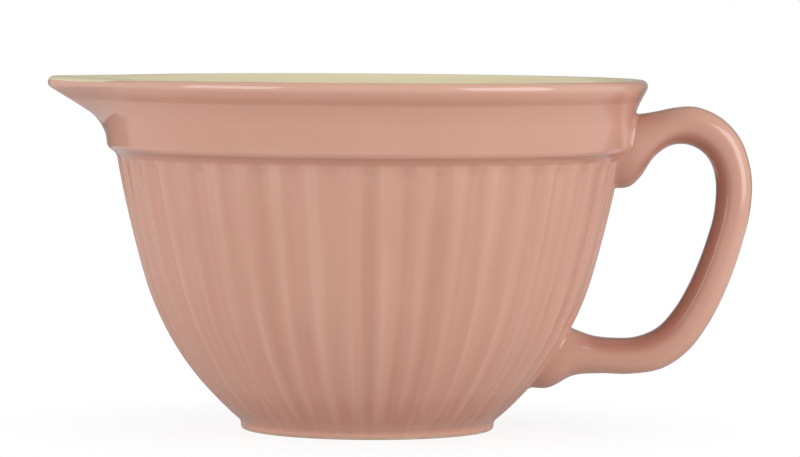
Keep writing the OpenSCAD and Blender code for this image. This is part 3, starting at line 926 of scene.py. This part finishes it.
def glaze(name, colour, thin, thick, on_wall=False):
    """A glossy glaze: paler where it runs thin on edges, deeper where it pools in hollows,
    with soft mottling, fine unevenness and a few pinholes. The same paler and deeper colours give
    the painted light and painted shade that a mesh carries in its attribute. On the bowl's wall it
    has run in streaks and is less smooth than on the collar, and the clay under the foot is bare."""
    n = Nodes(name)
    place = n.add("ShaderNodeTexCoord").outputs["Object"]
    height = n.add("ShaderNodeSeparateXYZ", Vector=place).outputs["Z"]
    clouds = n.noise(place, *CLOUDS)
    grain = n.noise(place, *GRAIN)
    hole = pinholes(n, place)
    # The attribute: glaze pooled in hollows, with painted shade and painted light added on rings of
    # the bowl and on the handle
    pooling_and_painted_light = n.add("ShaderNodeAttribute", attribute_name="hollow").outputs["Fac"]
    pooling_and_painted_light = n.math("ADD", pooling_and_painted_light, n.swing(clouds, NOISE_SPAN, CLOUDS_ADD))
    pooling_and_painted_light = n.math("ADD", pooling_and_painted_light, n.swing(n.noise(place, *FLOW), NOISE_SPAN, FLOW_ADD))
    shine = n.between(clouds, *WIDE_NOISE_SPAN, *ROUGHNESS_SPAN)
    shine = n.math("ADD", shine, n.math("MULTIPLY", hole, PINHOLE_DULLER))
    if on_wall:
        wall = n.between(height, WALL_TOP_H * MM, WALL_FULL_H * MM)
        streaks = n.noise(round_the_axis(n, place, height), *STREAKS)
        runs = n.math("MULTIPLY", n.swing(streaks, NOISE_SPAN, STREAKS_ADD), wall)
        pooling_and_painted_light = n.math("ADD", pooling_and_painted_light, runs)
        shine = n.math("ADD", shine, n.math("MULTIPLY", wall, WALL_DULLER))
    # Deeper for pooled glaze and painted shade, paler for thin glaze and painted light
    base = n.blend(n.between(pooling_and_painted_light, 0.0, 1.0), colour, thick)
    base = n.blend(n.between(pooling_and_painted_light, 0.0, -1.0), base, thin)
    base = n.blend(n.between(grain, *GRAIN_SPAN, 0.0, GRAIN_SHARE), base, thick)
    base = n.blend(n.math("MULTIPLY", hole, PINHOLE_DARKNESS), base, SPECK)
    if on_wall:
        wander = n.swing(n.noise(place, *RAGS), RAGS_SPAN, CLAY_WANDER * MM)
        ragged = n.math("ADD", height, wander)
        bare = n.between(ragged, CLAY_H * MM, (CLAY_H - CLAY_FADE_H) * MM)
        base = n.blend(bare, base, n.blend(grain, CLAY, CLAY_DARK))
        shine = n.math("ADD", shine, n.math("MULTIPLY", bare, CLAY_DULLER))
    ripple = n.relief(n.noise(place, *RIPPLE), *RIPPLE_RELIEF)
    peel = n.relief(n.noise(place, *PEEL), *PEEL_RELIEF, Normal=ripple)
    pits = n.relief(n.math("SUBTRACT", 1.0, hole), *PINHOLE_RELIEF, Normal=peel)
    shader = n.add("ShaderNodeBsdfPrincipled", Roughness=shine, IOR=GLAZE_IOR, Normal=pits)
    n.put(shader.inputs["Base Color"], base)
    n.finish("ShaderNodeOutputMaterial", shader)
    return n.material


def finish_piece(piece, material, node):
    """Gives a piece its material, and lets it stand for a node of the one body."""
    piece.data.materials.append(material)
    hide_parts(node)
    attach(piece, "root")


finish_piece(make_bowl(), glaze("rose glaze with painted light", ROSE, ROSE_THIN, ROSE_THICK, on_wall=True),
             "bowl_body")
finish_piece(make_lining(), glaze("cream glaze", CREAM, CREAM, CREAM_THICK),
             "inner_glaze")
finish_piece(make_handle(), glaze("handle glaze with painted light", ROSE, ROSE_THIN, ROSE_DEEP_AND_SHADE),
             "handle")
slip_glaze = glaze("slip glaze", ROSE, ROSE_THIN, ROSE_THICK)
finish_piece(make_slip("upper_slip", UPPER_LAND, 1), slip_glaze, "upper_slip_joint")
finish_piece(make_slip("lower_slip", LOWER_LAND, -1), slip_glaze, "lower_slip_joint")


# Camera: square to the plane of the spout and handle, and a little higher than the rim. The
# frame shows FRAME_W of what lies as far away as the aim.
CAMERA_OUT = 1780
CAMERA_H = 172
AIM = Vector((12.6, 0, 80.0))
FRAME_W = 319.6
SENSOR_W = 36
ROLL = math.radians(0.38)
CLIP_END = 20000


def make_camera():
    """The camera, at the photograph's viewing angle."""
    data = bpy.data.cameras.new("camera")
    data.sensor_width = SENSOR_W
    camera = bpy.data.objects.new("camera", data)
    bpy.context.scene.collection.objects.link(camera)
    stand = Vector((AIM.x, -CAMERA_OUT, CAMERA_H))
    data.lens = SENSOR_W * (AIM - stand).length / FRAME_W
    data.clip_end = CLIP_END * MM
    camera.location = stand * MM
    turn = (AIM - stand).to_track_quat("-Z", "Y").to_matrix().to_4x4()
    camera.rotation_euler = turn.to_euler()
    camera.rotation_euler.rotate_axis("Z", ROLL)
    bpy.context.scene.camera = camera


# Lamps: name, place, width and height, and radiance, where plain white has 1
LAMPS = [("left_box", (-1500, -900, 700), (1400, 1300), 2.4),
         ("right_box", (1500, -900, 600), (1300, 1500), 2.75)]
LAMP_AIM = Vector((0, 0, 80))
# A lamp's power for a square metre of it and a radiance of 1
LAMP_POWER = 4


def soft_box(name, place, size, radiance):
    """A large soft lamp, aimed at the middle of the bowl."""
    data = bpy.data.lights.new(name, "AREA")
    data.shape = "RECTANGLE"
    data.size, data.size_y = size[0] * MM, size[1] * MM
    data.energy = LAMP_POWER * radiance * data.size * data.size_y
    lamp = bpy.data.objects.new(name, data)
    bpy.context.scene.collection.objects.link(lamp)
    lamp.location = Vector(place) * MM
    lamp.rotation_euler = (LAMP_AIM - Vector(place)).to_track_quat("-Z", "Y").to_euler()


# The studio that gloss sees round the bowl, as shares of plain white: a backdrop, a gap on
# each side of it, the sides, the front and the ceiling. Angles are from straight behind the
# bowl. How high a direction points is given by its sine. The edges between these are soft.
BACKDROP_A = math.radians(15)
BACKDROP_TOP = math.sin(math.radians(22))
BACKDROP_TOP_SOFTNESS = 0.1
BACKDROP_IN_GLOSS = 0.25
GAP, GAP_A = 0.12, math.radians(49)
SIDE, SIDE_A = 0.66, math.radians(145)
FRONT = 0.48
OVERHEAD = 0.40
OVERHEAD_FROM, OVERHEAD_FULL = 0.40, 0.75
SOFT_A = math.radians(3)
SIDE_SOFT_A = math.radians(6)
FRONT_SOFT_A = math.radians(15)
# The even light that everything else gets, on the level and from nearly overhead
EVEN, EVEN_ABOVE = 0.50, 0.73
EVEN_TOP = 0.9


def make_world():
    """Soft even light. Gloss shows a studio with a grey backdrop and darker gaps beside it.
    The camera sees plain white."""
    world = bpy.data.worlds.new("studio")
    bpy.context.scene.world = world
    world.use_nodes = True
    n = Nodes(tree=world.node_tree)
    path = n.add("ShaderNodeLightPath").outputs
    glossy = path["Is Glossy Ray"]
    way = n.add("ShaderNodeTexCoord").outputs["Generated"]
    way = n.add("ShaderNodeSeparateXYZ", Vector=way).outputs
    turn = n.math("ABSOLUTE", n.math("ARCTAN2", way["X"], way["Y"]))
    behind = n.between(turn, BACKDROP_A + SOFT_A, BACKDROP_A - SOFT_A)
    below_top = n.between(way["Z"], BACKDROP_TOP + BACKDROP_TOP_SOFTNESS,
                          BACKDROP_TOP - BACKDROP_TOP_SOFTNESS)
    backdrop = n.math("MULTIPLY", behind, below_top)
    side = n.between(turn, GAP_A - SOFT_A, GAP_A + SIDE_SOFT_A, GAP, SIDE)
    front = n.between(turn, SIDE_A, SIDE_A + FRONT_SOFT_A, 0, FRONT - SIDE)
    high = n.between(way["Z"], OVERHEAD_FROM, OVERHEAD_FULL)
    low = n.math("MULTIPLY", n.math("ADD", side, front), n.math("SUBTRACT", 1.0, high))
    studio = n.math("ADD", low, n.math("MULTIPLY", high, OVERHEAD))
    even = n.between(way["Z"], 0.0, EVEN_TOP, EVEN, EVEN_ABOVE)
    even = n.math("MULTIPLY", even, n.math("SUBTRACT", 1.0, glossy))
    level = n.math("ADD", even, n.math("MULTIPLY", studio, glossy))
    in_gloss = n.math("MULTIPLY", glossy, n.math("MULTIPLY", backdrop, BACKDROP_IN_GLOSS))
    seen = n.math("MAXIMUM", path["Is Camera Ray"], path["Is Transmission Ray"])
    seen = n.math("MAXIMUM", seen, in_gloss)
    light = n.add("ShaderNodeBackground", Color=(1, 1, 1, 1), Strength=level)
    white = n.add("ShaderNodeBackground", Color=(1, 1, 1, 1), Strength=1.0)
    n.finish("ShaderNodeOutputWorld", n.either(seen, light, white))


# Floor: its size and colour, and the share of plain white in it, which leaves room for the
# shadow near the bowl
FLOOR_OUT = 720
FLOOR_SIDES = 96
FLOOR_COLOUR = (0.88, 0.88, 0.88, 1)
PLAIN_NEAR = 0.88
PLAIN_FROM, PLAIN_FULL = 75, 170
# What gloss sees of the floor: how much is plain, the rest as it is lit, and how pale it is
# near the bowl and away from it. The greyer floor near the bowl is a painted shadow.
GLOSS_SEES = 0.9
GLOSS_NEAR, GLOSS_FAR = 0.35, 0.55
GLOSS_FROM, GLOSS_TO = 150, 450


def make_floor():
    """A pale table top that keeps the bowl's shadow and otherwise shows white. Gloss sees a painted
    shadow on it, greyer near the bowl.
    """
    mesh = bpy.data.meshes.new("floor")
    turns = column_angles(FLOOR_SIDES)
    edge = np.stack([np.cos(turns), np.sin(turns), 0 * turns], -1) * FLOOR_OUT * MM
    mesh.from_pydata(edge.tolist(), [], [list(range(len(edge)))])
    floor = bpy.data.objects.new("floor", mesh)
    bpy.context.scene.collection.objects.link(floor)
    n = Nodes("pale floor")
    path = n.add("ShaderNodeLightPath").outputs
    place = n.add("ShaderNodeTexCoord").outputs["Object"]
    far = n.vector("LENGTH", place).outputs["Value"]
    # Painted shadow in gloss: less plain white near the bowl
    less = n.between(far, GLOSS_FROM * MM, GLOSS_TO * MM, 1 - GLOSS_NEAR, 1 - GLOSS_FAR)
    pale = n.math("SUBTRACT", 1.0, n.math("MULTIPLY", path["Is Glossy Ray"], less))
    seen = n.math("MAXIMUM", path["Is Camera Ray"], path["Is Transmission Ray"])
    seen = n.math("MAXIMUM", seen, n.math("MULTIPLY", path["Is Glossy Ray"], GLOSS_SEES))
    plain = n.between(far, PLAIN_FROM * MM, PLAIN_FULL * MM, PLAIN_NEAR, 1.0)
    share = n.math("MULTIPLY", plain, seen)
    diffuse = n.add("ShaderNodeBsdfDiffuse", Color=FLOOR_COLOUR)
    white = n.add("ShaderNodeEmission", Color=(1, 1, 1, 1), Strength=pale)
    n.finish("ShaderNodeOutputMaterial", n.either(share, diffuse, white))
    floor.data.materials.append(n.material)


make_camera()
make_world()
make_floor()
for lamp in LAMPS:
    soft_box(*lamp)
bpy.context.scene.view_settings.view_transform = "Standard"
